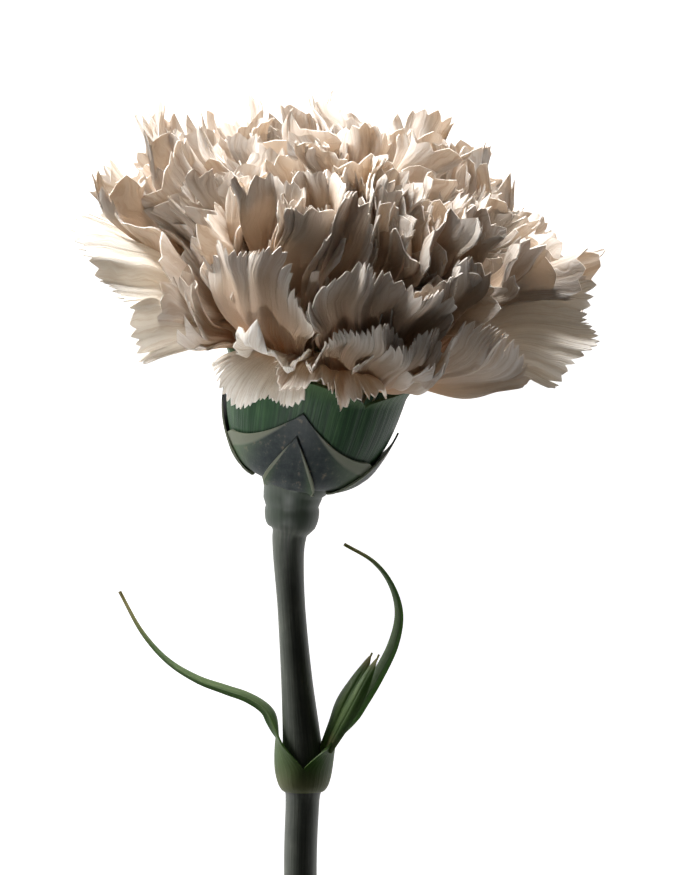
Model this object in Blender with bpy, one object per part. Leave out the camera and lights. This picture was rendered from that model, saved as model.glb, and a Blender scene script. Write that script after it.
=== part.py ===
"""A cut double carnation, laid on its side on a table.

World axes: +Y runs along the stem towards the bloom, +X to the right, +Z up from the table.
The bloom's own axis leans out of the stem's line, so the bloom, calyx and bracts are placed in
"bloom coordinates": a radius from that axis, an azimuth round it (0 faces up from the table,
90 degrees faces +X) and a height along it from the calyx's foot. Lengths are in millimetres
until a mesh is written, in metres.
"""

import math

import bpy
from mathutils import Matrix, Vector

MM = 0.001

# Where the bloom stands on the bench: the calyx's foot, and the bloom's lean.
CALYX_FOOT = Vector((0.3, 1.5, 24.2))
LEAN_RIGHT = math.radians(13)
LEAN_UP = math.radians(16)

# The table presses the lowest petals: heights under PRESS_FROM are drawn together.
PRESS_FROM = 9.0
PRESS_SOFTNESS = 11.0

# Petals: each sits on its own level, from 0 in the middle of the bloom to 1 at its rim.
PETAL_COUNT = 46
GOLDEN_ANGLE = math.radians(137.508)
FIRST_AZIMUTH = math.radians(15)
PETAL_THICKNESS = 0.5
CLAW_WIDTH = 1.6
CLAW_FOOT_HEIGHT = 2.7
CLAW_ROWS = 3
BLADE_ROWS = 5
PETAL_COLUMNS = 5
FAN_HALF_ANGLE = math.radians(52)
WIDEST_WRAP = math.radians(52)
RUFFLE_HEIGHT = 0.5

# The dome that the petal tips reach.
DOME_RADIUS = 38.2
DOME_RISE = 28.5
DOME_HEIGHT = 24.0
DOME_SPREAD = math.radians(96)
DOME_FULLNESS = 0.85
# How far a petal's tip leans out from the bloom's axis, as (level, degrees).
TIP_LEANS = ((0.0, 2), (0.2, 15), (0.4, 26), (0.6, 37), (0.75, 48), (0.86, 66), (0.93, 90), (1.0, 115))
# The dome's rim is lifted all round, and more at the back (the table's side) than in front.
RIM_LIFT = 5.0
RIM_TILT = 3.5
RIM_FROM = 8.0

# Calyx: (radius, height) of its wall's middle, from its foot to where its teeth start.
CALYX_PROFILE = (
    (4.9, 0.35), (7.4, 1.0), (9.0, 2.2), (10.2, 4.2), (11.5, 7.5), (12.4, 11.0), (13.2, 14.0),
)
CALYX_THICKNESS = 0.55
CALYX_TEETH = 5
CALYX_COLUMNS = 30
TOOTH_HEIGHT = 3.6
TOOTH_FLARE = 1.6

# Bracts wrap the calyx's foot in three crossed pairs: height of the tip, half their wrap round
# the calyx in degrees, height of their side lobes, distance outside the calyx wall, azimuths.
BRACT_PAIRS = {
    "inner_bract": (10.0, 74, 4.6, 0.78, (0, 180)),
    "side_bract": (9.2, 42, 1.2, 1.45, (-96, 84)),
    "outer_bract": (6.6, 38, 0.7, 2.12, (0, 180)),
}
BRACT_THICKNESS = 0.36

# Stem: (x, y, radius) along its middle, from the cut end, through the joint and the collar, to the
# receptacle inside the calyx.
STEM_LINE = (
    (1.9, -112.0, 2.45), (1.6, -98.0, 2.4), (1.0, -76.0, 2.4), (0.8, -57.0, 2.45), (1.1, -47.5, 2.7),
    (1.25, -43.5, 3.05), (1.3, -40.6, 3.0), (1.15, -36.0, 2.8), (0.8, -28.0, 2.6), (0.4, -18.0, 2.45),
    (-0.1, -10.5, 2.4), (-0.15, -7.0, 2.6), (-0.15, -5.7, 3.1), (-0.15, -4.9, 3.8), (-0.1, -3.5, 4.0),
    (-0.1, -2.6, 3.45), (0.0, -1.8, 3.9), (0.05, -1.0, 4.7), (0.1, -0.3, 4.3), (0.25, 0.8, 3.5),
    (0.45, 2.0, 4.3), (0.5, 2.7, 4.3),
)
STEM_END_HEIGHT = 3.2
STEM_SIDES = 14

# Leaves: points along the middle (x, y, z) and the width there.
LEAF_LEFT = (
    (-5.2, -36.0, 15.9, 5.4), (-7.4, -31.4, 15.7, 4.8), (-11.4, -29.2, 15.3, 4.2),
    (-15.4, -27.0, 14.8, 3.5), (-19.2, -23.9, 14.2, 2.7), (-22.3, -19.9, 13.4, 1.8),
    (-24.6, -15.6, 12.6, 0.6),
)
LEAF_RIGHT = (
    (6.6, -36.9, 16.5, 5.6), (9.6, -32.4, 17.2, 5.0), (12.2, -28.0, 17.8, 4.4),
    (14.4, -23.4, 18.3, 3.9), (15.3, -18.8, 18.6, 3.3), (14.2, -14.6, 18.7, 2.6),
    (11.6, -11.2, 18.4, 1.7), (7.3, -8.6, 17.9, 0.6),
)
SHEATH_HEIGHTS = (-44.4, -42.4, -40.2, -38.6)
SHEATH_RADII = (3.55, 4.1, 4.3, 4.5)
SHEATH_HALF_WRAP = math.radians(80)
LEAF_THICKNESS = 0.5
LEAF_FOLD = 0.3

# The young shoot in the right leaf's angle: two small leaflets, one before the other.
SHOOT_FRONT = (
    (5.3, -36.6, 18.6, 1.6), (6.5, -34.6, 19.4, 2.8), (7.7, -32.2, 20.0, 3.2),
    (9.3, -28.8, 20.5, 2.2), (11.4, -24.4, 20.8, 0.5),
)
SHOOT_BACK = (
    (5.9, -36.6, 20.0, 1.2), (7.4, -34.2, 21.2, 2.0), (8.9, -31.4, 22.2, 2.0),
    (10.6, -28.0, 22.8, 1.4), (12.4, -24.5, 23.0, 0.5),
)

PISTIL_PROFILE = (
    (0.7, 2.6), (1.15, 4.0), (1.25, 7.0), (1.1, 10.0), (0.7, 12.5), (0.4, 15.0), (0.35, 21.0), (0.25, 27.0),
)
PISTIL_SIDES = 10

COLOURS = {
    "petal": (0.86, 0.76, 0.66, 1.0),
    "calyx": (0.06, 0.11, 0.06, 1.0),
    "bract": (0.11, 0.14, 0.09, 1.0),
    "stem": (0.10, 0.13, 0.09, 1.0),
    "leaf": (0.13, 0.20, 0.08, 1.0),
    "pistil": (0.62, 0.68, 0.46, 1.0),
}
ROUGHNESS = {"petal": 0.75, "calyx": 0.45, "bract": 0.6, "stem": 0.5, "leaf": 0.55, "pistil": 0.6}


def bloom_matrix():
    """Bloom coordinates (up from the table, right, along the bloom's axis) to the bench, in mm."""
    axis = Vector((
        math.sin(LEAN_RIGHT) * math.cos(LEAN_UP),
        math.cos(LEAN_RIGHT) * math.cos(LEAN_UP),
        math.sin(LEAN_UP),
    ))
    up = (Vector((0, 0, 1)) - axis * axis.z).normalized()
    right = axis.cross(up)
    turn = Matrix((up, right, axis)).transposed().to_4x4()
    return Matrix.Translation(CALYX_FOOT) @ turn


BLOOM = bloom_matrix()


def bloom_point(radius, azimuth, height):
    return BLOOM @ Vector((radius * math.cos(azimuth), radius * math.sin(azimuth), height))


def pressed(point):
    """The point as the table leaves it: low heights are drawn together, in order, above the table."""
    depth = PRESS_FROM - point.z
    if depth <= 0:
        return point
    kept = PRESS_SOFTNESS * (1 - math.exp(-depth / PRESS_SOFTNESS))
    return Vector((point.x, point.y, PRESS_FROM - kept))


def smooth(share):
    share = min(1.0, max(0.0, share))
    return share * share * (3 - 2 * share)


def between(low, high, share):
    return low + (high - low) * share


def along_steps(steps, place):
    """The value at this place on a line through (place, value) steps."""
    for (p0, v0), (p1, v1) in zip(steps, steps[1:]):
        if place <= p1:
            return between(v0, v1, (place - p0) / (p1 - p0))
    return steps[-1][1]


def material(kind):
    made = bpy.data.materials.get(kind)
    if made:
        return made
    made = bpy.data.materials.new(kind)
    made.use_nodes = True
    shader = made.node_tree.nodes["Principled BSDF"]
    shader.inputs["Base Color"].default_value = COLOURS[kind]
    shader.inputs["Roughness"].default_value = ROUGHNESS[kind]
    shader.inputs["Metallic"].default_value = 0.0
    return made


def add_object(name, kind, points, faces, parent):
    mesh = bpy.data.meshes.new(name)
    mesh.from_pydata([tuple(p * MM) for p in points], [], faces)
    mesh.materials.append(material(kind))
    mesh.shade_smooth()
    made = bpy.data.objects.new(name, mesh)
    made.parent = parent
    bpy.context.scene.collection.objects.link(made)
    return made


def add_sheet(name, kind, rows, thickness, parent, closed=False):
    """A thin sheet from rows of points, thickened evenly to both sides. Closed joins a row's ends."""
    width = len(rows[0])
    points = [p for row in rows for p in row]
    faces = []
    for i in range(len(rows) - 1):
        for j in range(width if closed else width - 1):
            k = (j + 1) % width
            faces.append((i * width + j, i * width + k, (i + 1) * width + k, (i + 1) * width + j))
    made = add_object(name, kind, points, faces, parent)
    wall = made.modifiers.new("wall", "SOLIDIFY")
    wall.thickness = thickness * MM
    wall.offset = 0.0
    wall.use_rim = True
    return made


def add_loft(name, kind, rings, parent):
    """A solid through rings of points, capped at both ends."""
    sides = len(rings[0])
    points = [p for ring in rings for p in ring]
    faces = [tuple(range(sides))[::-1]]
    for i in range(len(rings) - 1):
        for j in range(sides):
            k = (j + 1) % sides
            faces.append((i * sides + j, i * sides + k, (i + 1) * sides + k, (i + 1) * sides + j))
    last = (len(rings) - 1) * sides
    faces.append(tuple(range(last, last + sides)))
    return add_object(name, kind, points, faces, parent)


def turned_rings(profile, sides):
    turn = 2 * math.pi / sides
    return [[bloom_point(r, turn * j, h) for j in range(sides)] for r, h in profile]


# --- Petals ---------------------------------------------------------------------------------


def petal_levels(level):
    """A petal's midrib at this level: claw foot, throat, tip as (radius, height), and two leans."""
    spread = DOME_SPREAD * level ** 0.7
    foot = (between(1.7, 5.7, level ** 0.5), CLAW_FOOT_HEIGHT)
    throat = (between(2.2, 9.6, level ** 0.6), between(33.0, 17.8, level ** 0.75))
    out, up = math.sin(spread) ** DOME_FULLNESS, math.cos(spread)
    tip = (DOME_RADIUS * out, DOME_HEIGHT + DOME_RISE * math.copysign(abs(up) ** DOME_FULLNESS, up))
    throat_lean = between(math.radians(3), math.radians(16), level)
    tip_lean = math.radians(along_steps(TIP_LEANS, level))
    return foot, throat, tip, throat_lean, tip_lean


def bezier(a, b, c, d, t):
    s = 1 - t
    return tuple(
        s ** 3 * p + 3 * s * s * t * q + 3 * s * t * t * v + t ** 3 * w
        for p, q, v, w in zip(a, b, c, d)
    )


def blade_curve(level):
    """Points along the blade's midrib as (radius, height)."""
    _, throat, tip, throat_lean, tip_lean = petal_levels(level)
    pull = 0.32 * math.dist(throat, tip)
    first = (throat[0] + pull * math.sin(throat_lean), throat[1] + pull * math.cos(throat_lean))
    last = (tip[0] - pull * math.sin(tip_lean), tip[1] - pull * math.cos(tip_lean))
    return [bezier(throat, first, last, tip, i / 16) for i in range(17)]


def dome_point(radius, azimuth, height):
    """A point of the bloom, with the dome's tilt put on it: nothing in the middle, all at the rim."""
    lift = (RIM_LIFT - RIM_TILT * math.cos(azimuth)) * smooth((radius - RIM_FROM) / DOME_RADIUS)
    return bloom_point(radius, azimuth, height + lift)


def along_curve(curve, share):
    """The point and the direction at this share of the curve's length."""
    steps = [math.dist(a, b) for a, b in zip(curve, curve[1:])]
    left = share * sum(steps)
    for (a, b), step in zip(zip(curve, curve[1:]), steps):
        if left <= step or b is curve[-1]:
            t = left / step
            heading = ((b[0] - a[0]) / step, (b[1] - a[1]) / step)
            return (between(a[0], b[0], t), between(a[1], b[1], t)), heading
        left -= step
    return curve[-1], heading


def petal_rows(number):
    level = (number + 0.5) / PETAL_COUNT
    azimuth = FIRST_AZIMUTH + number * GOLDEN_ANGLE
    foot, throat, _, _, _ = petal_levels(level)
    curve = blade_curve(level)
    length = sum(math.dist(a, b) for a, b in zip(curve, curve[1:]))
    across = [2 * j / (PETAL_COLUMNS - 1) - 1 for j in range(PETAL_COLUMNS)]
    rows = []
    for i in range(CLAW_ROWS):
        share = i / CLAW_ROWS
        radius = between(foot[0], throat[0], share)
        height = between(foot[1], throat[1], share)
        half = CLAW_WIDTH / 2 / radius
        rows.append([bloom_point(radius, azimuth + v * half, height) for v in across])
    for i in range(BLADE_ROWS):
        reach = max(0.04, i / (BLADE_ROWS - 1))
        row = []
        for v in across:
            angle = v * FAN_HALF_ANGLE
            (radius, height), heading = along_curve(curve, reach * between(1, math.cos(angle), 0.75))
            side = CLAW_WIDTH / 2 * v + 0.72 * reach * length * math.sin(angle)
            wrap = WIDEST_WRAP * math.tanh(side / radius / WIDEST_WRAP)
            wave = RUFFLE_HEIGHT * reach ** 2 * math.cos(v * 2.2 * math.pi + number)
            row.append(dome_point(radius + wave * heading[1], azimuth + wrap, height - wave * heading[0]))
        rows.append(row)
    return [[pressed(p) for p in row] for row in rows]


def add_petals(parent):
    for number in range(PETAL_COUNT):
        name = f"petal_{number + 1:02d}"
        add_sheet(name, "petal", petal_rows(number), PETAL_THICKNESS, parent)


# --- Calyx, bracts, pistil ------------------------------------------------------------------


def wall_point(height, outside):
    """(radius, height) this far outside the calyx wall's middle, square to the wall."""
    profile = CALYX_PROFILE
    slopes = [math.atan2(r1 - r0, h1 - h0) for (r0, h0), (r1, h1) in zip(profile, profile[1:])]
    leans = [slopes[0], *((a + b) / 2 for a, b in zip(slopes, slopes[1:])), slopes[-1]]
    for i, ((r0, h0), (r1, h1)) in enumerate(zip(profile, profile[1:])):
        if height <= h1:
            share = (height - h0) / (h1 - h0)
            lean = between(leans[i], leans[i + 1], share)
            return between(r0, r1, share) + outside * math.cos(lean), height - outside * math.sin(lean)
    return profile[-1][0] + outside, height


def add_calyx(parent):
    turn = 2 * math.pi / CALYX_COLUMNS
    rows = [[bloom_point(r, turn * j, h) for j in range(CALYX_COLUMNS)] for r, h in CALYX_PROFILE]
    radius, height = CALYX_PROFILE[-1]
    for share in (0.5, 1.0):
        row = []
        for j in range(CALYX_COLUMNS):
            place = (j * CALYX_TEETH / CALYX_COLUMNS) % 1
            tooth = (1 - abs(2 * place - 1)) * 0.85 + 0.15
            row.append(bloom_point(
                radius + TOOTH_FLARE * share * tooth, turn * j, height + TOOTH_HEIGHT * share * tooth
            ))
        rows.append(row)
    add_sheet("calyx", "calyx", rows, CALYX_THICKNESS, parent, closed=True)


def add_bract(name, shape, azimuth, parent):
    tip, wrap, lobe, outside, _ = shape
    rows, columns, steps = [], 9, 6
    for i in range(steps):
        share = i / (steps - 1)
        row = []
        for j in range(columns):
            v = 2 * j / (columns - 1) - 1
            top = lobe + (tip - lobe) * (1 - abs(v)) ** 1.7
            radius, height = wall_point(between(1.0, top, share), outside)
            row.append(bloom_point(radius, azimuth + v * math.radians(wrap), height))
        rows.append(row)
    add_sheet(name, "bract", rows, BRACT_THICKNESS, parent)


def add_bracts(parent):
    sides = ("upper", "lower"), ("left", "right")
    for kind, shape in BRACT_PAIRS.items():
        for side, degrees in zip(sides[kind == "side_bract"], shape[-1]):
            add_bract(f"{kind}_{side}", shape, math.radians(degrees), parent)


def add_pistil(parent):
    add_loft("pistil", "pistil", turned_rings(PISTIL_PROFILE, PISTIL_SIDES), parent)


# --- Stem and leaves ------------------------------------------------------------------------


def stem_height(y):
    """Height of the stem's middle above the table, rising evenly to the calyx's foot."""
    low, high = STEM_LINE[0][1], CALYX_FOOT.y
    return between(STEM_END_HEIGHT, CALYX_FOOT.z, (y - low) / (high - low))


def add_stem(parent):
    turn = 2 * math.pi / STEM_SIDES
    slope = (CALYX_FOOT.z - STEM_END_HEIGHT) / (CALYX_FOOT.y - STEM_LINE[0][1])
    upward = Vector((0, -slope, 1)).normalized()
    rings = []
    for x, y, radius in STEM_LINE:
        middle = Vector((x, y, stem_height(y)))
        rings.append([
            middle + radius * (upward * math.cos(turn * j) + Vector((1, 0, 0)) * math.sin(turn * j))
            for j in range(STEM_SIDES)
        ])
    add_loft("stem", "stem", rings, parent)


def leaf_rows(line, side, roll):
    """Rows across a leaf, from its half of the sheath round the stem's joint to its tip."""
    across = (-1.0, -0.5, 0.0, 0.5, 1.0)
    rows = []
    if side:
        for y, radius in zip(SHEATH_HEIGHTS, SHEATH_RADII):
            middle = Vector((1.25, y, stem_height(y)))
            row = []
            for v in across:
                angle = side * math.pi / 2 - side * v * SHEATH_HALF_WRAP
                row.append(middle + radius * Vector((math.sin(angle), 0, math.cos(angle))))
            rows.append(row)
    points = [Vector(p[:3]) for p in line]
    for i, point in enumerate(points):
        heading = (points[min(i + 1, len(points) - 1)] - points[max(i - 1, 0)]).normalized()
        flat = Vector((0, 0, 1)) - heading * heading.z
        sideways = Matrix.Rotation(roll, 3, heading) @ flat.normalized()
        inner = heading.cross(sideways).normalized() * (-1 if side < 0 else 1)
        half = line[i][3] / 2
        rows.append([
            point + sideways * half * v + inner * half * LEAF_FOLD * 2 * (v * v - 0.5) for v in across
        ])
    return rows


def add_leaves(parent):
    add_sheet("leaf_left", "leaf", leaf_rows(LEAF_LEFT, -1, math.radians(12)), LEAF_THICKNESS, parent)
    add_sheet("leaf_right", "leaf", leaf_rows(LEAF_RIGHT, 1, math.radians(-10)), LEAF_THICKNESS, parent)
    roll = math.radians(65)
    add_sheet("shoot_leaf_front", "leaf", leaf_rows(SHOOT_FRONT, 0, roll), LEAF_THICKNESS, parent)
    add_sheet("shoot_leaf_back", "leaf", leaf_rows(SHOOT_BACK, 0, roll), LEAF_THICKNESS, parent)


# --- The whole flower -----------------------------------------------------------------------


def corners(root):
    """Lowest and highest corner of every piece under the root, modifiers included."""
    bpy.context.view_layer.update()
    graph = bpy.context.evaluated_depsgraph_get()
    points = [
        made.matrix_world @ Vector(corner)
        for made in root.children
        for corner in made.evaluated_get(graph).bound_box
    ]
    low = Vector(min(p[k] for p in points) for k in range(3))
    high = Vector(max(p[k] for p in points) for k in range(3))
    return low, high


def set_on_table(root):
    """Puts the middle of the flower's plan over the origin, and its lowest point on the table."""
    low, high = corners(root)
    root.location = (-(low.x + high.x) / 2, -(low.y + high.y) / 2, -low.z)
    return low, high


def build():
    for made in list(bpy.data.objects):
        bpy.data.objects.remove(made)
    root = bpy.data.objects.new("carnation", None)
    bpy.context.scene.collection.objects.link(root)
    add_stem(root)
    add_calyx(root)
    add_bracts(root)
    add_pistil(root)
    add_leaves(root)
    add_petals(root)
    low, high = set_on_table(root)
    print("corners before moving, mm:", [round(v / MM, 2) for v in (*low, *high)])


build()
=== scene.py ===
# A cut double carnation lying on a pale light table, seen from straight above.
# Lengths are millimetres and angles are degrees, but the floor and the lamps are in metres,
# and noise on Object coordinates has its scale per metre.
import math
import random

import bpy
import numpy as np
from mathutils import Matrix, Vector


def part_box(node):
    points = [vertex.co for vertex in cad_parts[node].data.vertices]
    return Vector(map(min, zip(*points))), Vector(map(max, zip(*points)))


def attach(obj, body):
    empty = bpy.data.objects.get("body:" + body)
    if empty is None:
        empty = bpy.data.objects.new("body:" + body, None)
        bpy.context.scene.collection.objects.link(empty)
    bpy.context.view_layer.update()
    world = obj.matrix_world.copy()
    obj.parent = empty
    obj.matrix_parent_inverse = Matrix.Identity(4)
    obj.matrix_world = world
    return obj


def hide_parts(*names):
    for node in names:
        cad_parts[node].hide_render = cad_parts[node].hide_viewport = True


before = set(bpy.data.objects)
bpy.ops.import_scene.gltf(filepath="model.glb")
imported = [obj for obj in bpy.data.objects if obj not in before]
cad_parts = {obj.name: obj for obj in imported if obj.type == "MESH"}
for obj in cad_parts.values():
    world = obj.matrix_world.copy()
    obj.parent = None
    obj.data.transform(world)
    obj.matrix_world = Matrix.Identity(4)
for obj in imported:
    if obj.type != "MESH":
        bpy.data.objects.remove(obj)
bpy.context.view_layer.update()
print("frame loaded:", len(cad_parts), "pieces")

mm = 0.001

meshing = {
    "mergeWithin": 0.002,  # a closed piece's seam and poles
    "smoothUnder": 55,  # sharper edges than this stay sharp
}

# where things are: the bench, and the bloom's own leaning axes

bloom = {
    "leanRight": 13.0,
    "leanUp": 16.0,
    "footHeight": 23.41,  # the calyx's foot above the table
    "footFromCutEnd": 113.95,
    "footFromLeftLeafTip": 24.9,
    "pressFrom": 9.0,  # the table presses what would hang lower than this
    "pressSoftness": 11.0,
    "rimLift": 5.0,
    "rimTilt": 3.5,  # so much less of the lift in front, and more behind
    "rimFrom": 8.0,
    "frontTuck": 0.1,  # the rim is this share nearer the axis in front
    "frontOpening": 34,  # in front, the outermost throats lean out this much more
    "frontUpright": 0.7,  # in front, the tips lean this share less
    "domeRadius": 38.2,
    "domeRise": 27.0,
    "domeHeight": 24.0,
    "domeSpread": 96.0,
    "domeFullness": 0.85,
    "tipLeans": ((0.0, 2), (0.2, 15), (0.4, 26), (0.6, 37), (0.75, 48), (0.86, 66), (0.93, 90), (1.0, 115)),
}


def bloomAxesOf(leanRight, leanUp):
    axis = Vector((
        math.sin(leanRight) * math.cos(leanUp),
        math.cos(leanRight) * math.cos(leanUp),
        math.sin(leanUp),
    ))
    over = (Vector((0, 0, 1)) - axis * axis.z).normalized()
    return np.array([over, axis.cross(over), axis])


bloomAxes = bloomAxesOf(math.radians(bloom["leanRight"]), math.radians(bloom["leanUp"]))
calyxFoot = np.array((
    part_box("leaf_left")[0].x / mm + bloom["footFromLeftLeafTip"],
    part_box("stem")[0].y / mm + bloom["footFromCutEnd"],
    bloom["footHeight"],
))


def bloomPoints(radius, azimuth, height):
    local = np.stack([radius * np.cos(azimuth), radius * np.sin(azimuth), height], axis=-1)
    return calyxFoot + local @ bloomAxes


def rimLift(radius, azimuth):
    share = smooth((radius - bloom["rimFrom"]) / bloom["domeRadius"])
    return (bloom["rimLift"] - bloom["rimTilt"] * np.cos(azimuth)) * share


def tucked(radius, azimuth):
    towards = np.maximum(0, np.cos(azimuth)) ** 2
    return 1 - bloom["frontTuck"] * towards * smooth(radius / bloom["domeRadius"])


def pressed(points):
    depth = np.maximum(0, bloom["pressFrom"] - points[:, 2])
    kept = bloom["pressSoftness"] * (1 - np.exp(-depth / bloom["pressSoftness"]))
    points[:, 2] = np.where(depth > 0, bloom["pressFrom"] - kept, points[:, 2])
    return points


def smooth(share):
    share = np.clip(share, 0, 1)
    return share * share * (3 - 2 * share)


def between(low, high, share):
    return low + (high - low) * share


def smoothLine(knots, shares):
    # a Catmull-Rom line through the knots, each share from 0 to 1
    knots = np.array(knots, float)
    padded = np.vstack([2 * knots[0] - knots[1], knots, 2 * knots[-1] - knots[-2]])
    place = np.clip(shares, 0, 1) * (len(knots) - 1)
    start = np.minimum(place.astype(int), len(knots) - 2)
    t = (place - start)[:, None]
    a, b, c, d = (padded[start + k] for k in range(4))
    return 0.5 * (2 * b + (c - a) * t + (2 * a - 5 * b + 4 * c - d) * t**2 + (3 * b - a - 3 * c + d) * t**3)


# mesh making


def bentGrid(name, columns, rows, shape, closed=False):
    bpy.ops.object.select_all(action="DESELECT")
    bpy.ops.mesh.primitive_grid_add(x_subdivisions=columns, y_subdivisions=rows, size=1)
    piece = bpy.context.active_object
    piece.name = piece.data.name = name
    flat = np.empty(len(piece.data.vertices) * 3)
    piece.data.vertices.foreach_get("co", flat)
    flat = flat.reshape(-1, 3) + 0.5
    points = shape(flat[:, 0], flat[:, 1]) * mm
    piece.data.vertices.foreach_set("co", points.ravel())
    piece.data.update()
    if closed:
        bpy.ops.object.mode_set(mode="EDIT")
        bpy.ops.mesh.select_all(action="SELECT")
        bpy.ops.mesh.remove_doubles(threshold=meshing["mergeWithin"] * mm)
        bpy.ops.mesh.normals_make_consistent(inside=False)
        bpy.ops.object.mode_set(mode="OBJECT")
    return piece


def thicken(piece, thickness):
    wall = piece.modifiers.new("wall", "SOLIDIFY")
    wall.thickness = thickness * mm
    wall.offset = 0
    bpy.ops.object.modifier_apply(modifier=wall.name)


def finishPiece(piece, finish, slotName, *nodes):
    bpy.ops.object.shade_smooth_by_angle(angle=math.radians(meshing["smoothUnder"]))
    piece.data.materials.clear()
    piece.data.materials.append(finish)
    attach(piece, "root")
    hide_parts(*nodes)


# shader wiring


class Wire:
    def __init__(self, finish, socket):
        self.finish = finish
        self.socket = socket

    def other(self, name):
        return Wire(self.finish, self.socket.node.outputs[name])

    def maths(self, operation, first, second):
        return self.finish.add("ShaderNodeMath", {"operation": operation}, {0: first, 1: second})

    def __add__(self, other):
        return self.maths("ADD", self, other)

    def __radd__(self, other):
        return self.maths("ADD", other, self)

    def __sub__(self, other):
        return self.maths("SUBTRACT", self, other)

    def __rsub__(self, other):
        return self.maths("SUBTRACT", other, self)

    def __mul__(self, other):
        return self.maths("MULTIPLY", self, other)

    def __rmul__(self, other):
        return self.maths("MULTIPLY", other, self)

    def ramp(self, *stops):
        return self.finish.add("ShaderNodeValToRGB", {"stops": stops}, {"Fac": self})

    def between(self, low, high):
        settings = {"interpolation_type": "SMOOTHSTEP"}
        inputs = {"Value": self, "From Min": low, "From Max": high}
        return self.finish.add("ShaderNodeMapRange", settings, inputs)


class Finish:
    def __init__(self, name):
        self.material = bpy.data.materials.new(name)
        self.material.use_nodes = True
        self.nodes = self.material.node_tree.nodes
        self.links = self.material.node_tree.links
        self.nodes.clear()

    def add(self, kind, settings=None, inputs=None, output=0):
        node = self.nodes.new(kind)
        for name, value in (settings or {}).items():
            if name == "stops":
                self.setStops(node.color_ramp, value)
            else:
                setattr(node, name, value)
        for name, value in (inputs or {}).items():
            if isinstance(value, Wire):
                self.links.new(value.socket, node.inputs[name])
            else:
                node.inputs[name].default_value = value
        return Wire(self, node.outputs[output]) if node.outputs else node

    def setStops(self, ramp, stops):
        while len(ramp.elements) < len(stops):
            ramp.elements.new(0.5)
        for element, (place, colour) in zip(ramp.elements, stops):
            element.position = place
            element.color = (*colour, 1)

    def mixed(self, share, first, second):
        inputs = {0: share, 6: first, 7: second}  # sockets 6 and 7 are the colours
        return self.add("ShaderNodeMix", {"data_type": "RGBA"}, inputs, 2)

    def uv(self):
        surface = self.add("ShaderNodeTexCoord", output="UV")
        across = self.add("ShaderNodeSeparateXYZ", {}, {0: surface}, "X")
        return across, across.other("Y")

    def noise(self, scale, detail=3, roughness=0.5, place=None):
        place = place or self.add("ShaderNodeTexCoord", output="Object")
        inputs = {"Vector": place, "Scale": scale, "Detail": detail, "Roughness": roughness}
        return self.add("ShaderNodeTexNoise", {}, inputs, "Fac")

    def point(self, x, y, z=0):
        return self.add("ShaderNodeCombineXYZ", {}, {0: x, 1: y, 2: z})

    def bump(self, height, distance, strength):
        inputs = {"Height": height, "Distance": distance * mm, "Strength": strength}
        return self.add("ShaderNodeBump", {}, inputs)

    def skin(self, colour, roughness, normal, **settings):
        inputs = {"Base Color": colour, "Roughness": roughness, "Normal": normal}
        inputs.update({name.replace("_", " "): value for name, value in settings.items()})
        return self.add("ShaderNodeBsdfPrincipled", {}, inputs)

    def glow(self, colour, normal):
        return self.add("ShaderNodeBsdfTranslucent", {}, {"Color": colour, "Normal": normal})

    def mixedSurface(self, share, first, second):
        return self.add("ShaderNodeMixShader", {}, {0: share, 1: first, 2: second})

    def close(self, surface):
        self.add("ShaderNodeOutputMaterial", {}, {"Surface": surface})
        return self.material


# finishes

# the stops along a petal are partly its own cream and peach and partly painted light: the deep and middle
# stops paint the shade and the amber glow down in the recesses, and the margin stop paints the bright
# backlit rim
petalLook = {
    "inner": {
        "claw": (0.46, 0.42, 0.20),
        "deep": (0.78, 0.36, 0.10),
        "middle": (0.60, 0.41, 0.26),
        "outer": (0.76, 0.67, 0.57),
        "margin": (0.94, 0.92, 0.88),
        "through": (0.88, 0.71, 0.53, 1),  # the light that a petal lets by
        "seeThrough": 0.3,
    },
    "shaded": {  # darker by choice, so that the standing fans in front look shadowed
        "claw": (0.40, 0.34, 0.15),
        "deep": (0.55, 0.24, 0.07),
        "middle": (0.45, 0.28, 0.17),
        "outer": (0.56, 0.43, 0.31),
        "margin": (0.92, 0.86, 0.78),
        "through": (0.74, 0.54, 0.38, 1),
        "seeThrough": 0.16,
    },
    "open": {  # paler and more see-through by choice, as painted light, so that five of the outer petals look brightly lit
        "claw": (0.50, 0.48, 0.26),
        "deep": (0.70, 0.48, 0.28),
        "middle": (0.82, 0.72, 0.60),
        "outer": (0.92, 0.88, 0.81),
        "margin": (0.97, 0.96, 0.93),
        "through": (0.92, 0.85, 0.75, 1),
        "seeThrough": 0.38,
    },
}
veinColour = (0.50, 0.38, 0.27, 1)
# of these kinds, the darker one is painted shade on the standing fans in front, and the paler one is painted
# light on five outer petals
petalKinds = {"open": (32, 40, 44, 45, 46), "shaded": (9, 14, 17, 19, 22, 24, 25, 27, 30, 43)}


def makePetalFinish(kind):
    finish = Finish(kind + " petal skin")
    across, along = finish.uv()
    wander = finish.noise(260, 2) * 0.05
    veins = finish.noise(1, 4, 0.65, finish.point((across + wander) * 70, along * 3))
    broad = finish.noise(1, 2, 0.5, finish.point((across + wander) * 20, along * 1.5, 7))
    speck = finish.noise(1500, 2)
    look = petalLook[kind]
    # painted light along the petal, over its own colour: painted shade and amber glow towards the foot, and
    # painted backlit brightness at the margin
    colour = (along + (broad - 0.5) * 0.12).ramp(
        (0.1, look["claw"]), (0.34, look["deep"]), (0.6, look["middle"]),
        (0.84, look["outer"]), (1.0, look["margin"]),
    )
    colour = finish.mixed((0.56 - veins).between(0, 0.22) * 0.55, colour, veinColour)
    normal = finish.bump(veins * 0.8 + broad * 0.4 + speck * 0.15, 0.35, 0.8)
    skin = finish.skin(colour, 0.58, normal, Specular_IOR_Level=0.35, Sheen_Weight=0.12, Sheen_Roughness=0.5)
    glow = finish.glow(look["through"], normal)
    return finish.close(finish.mixedSurface(look["seeThrough"], skin, glow))


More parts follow.
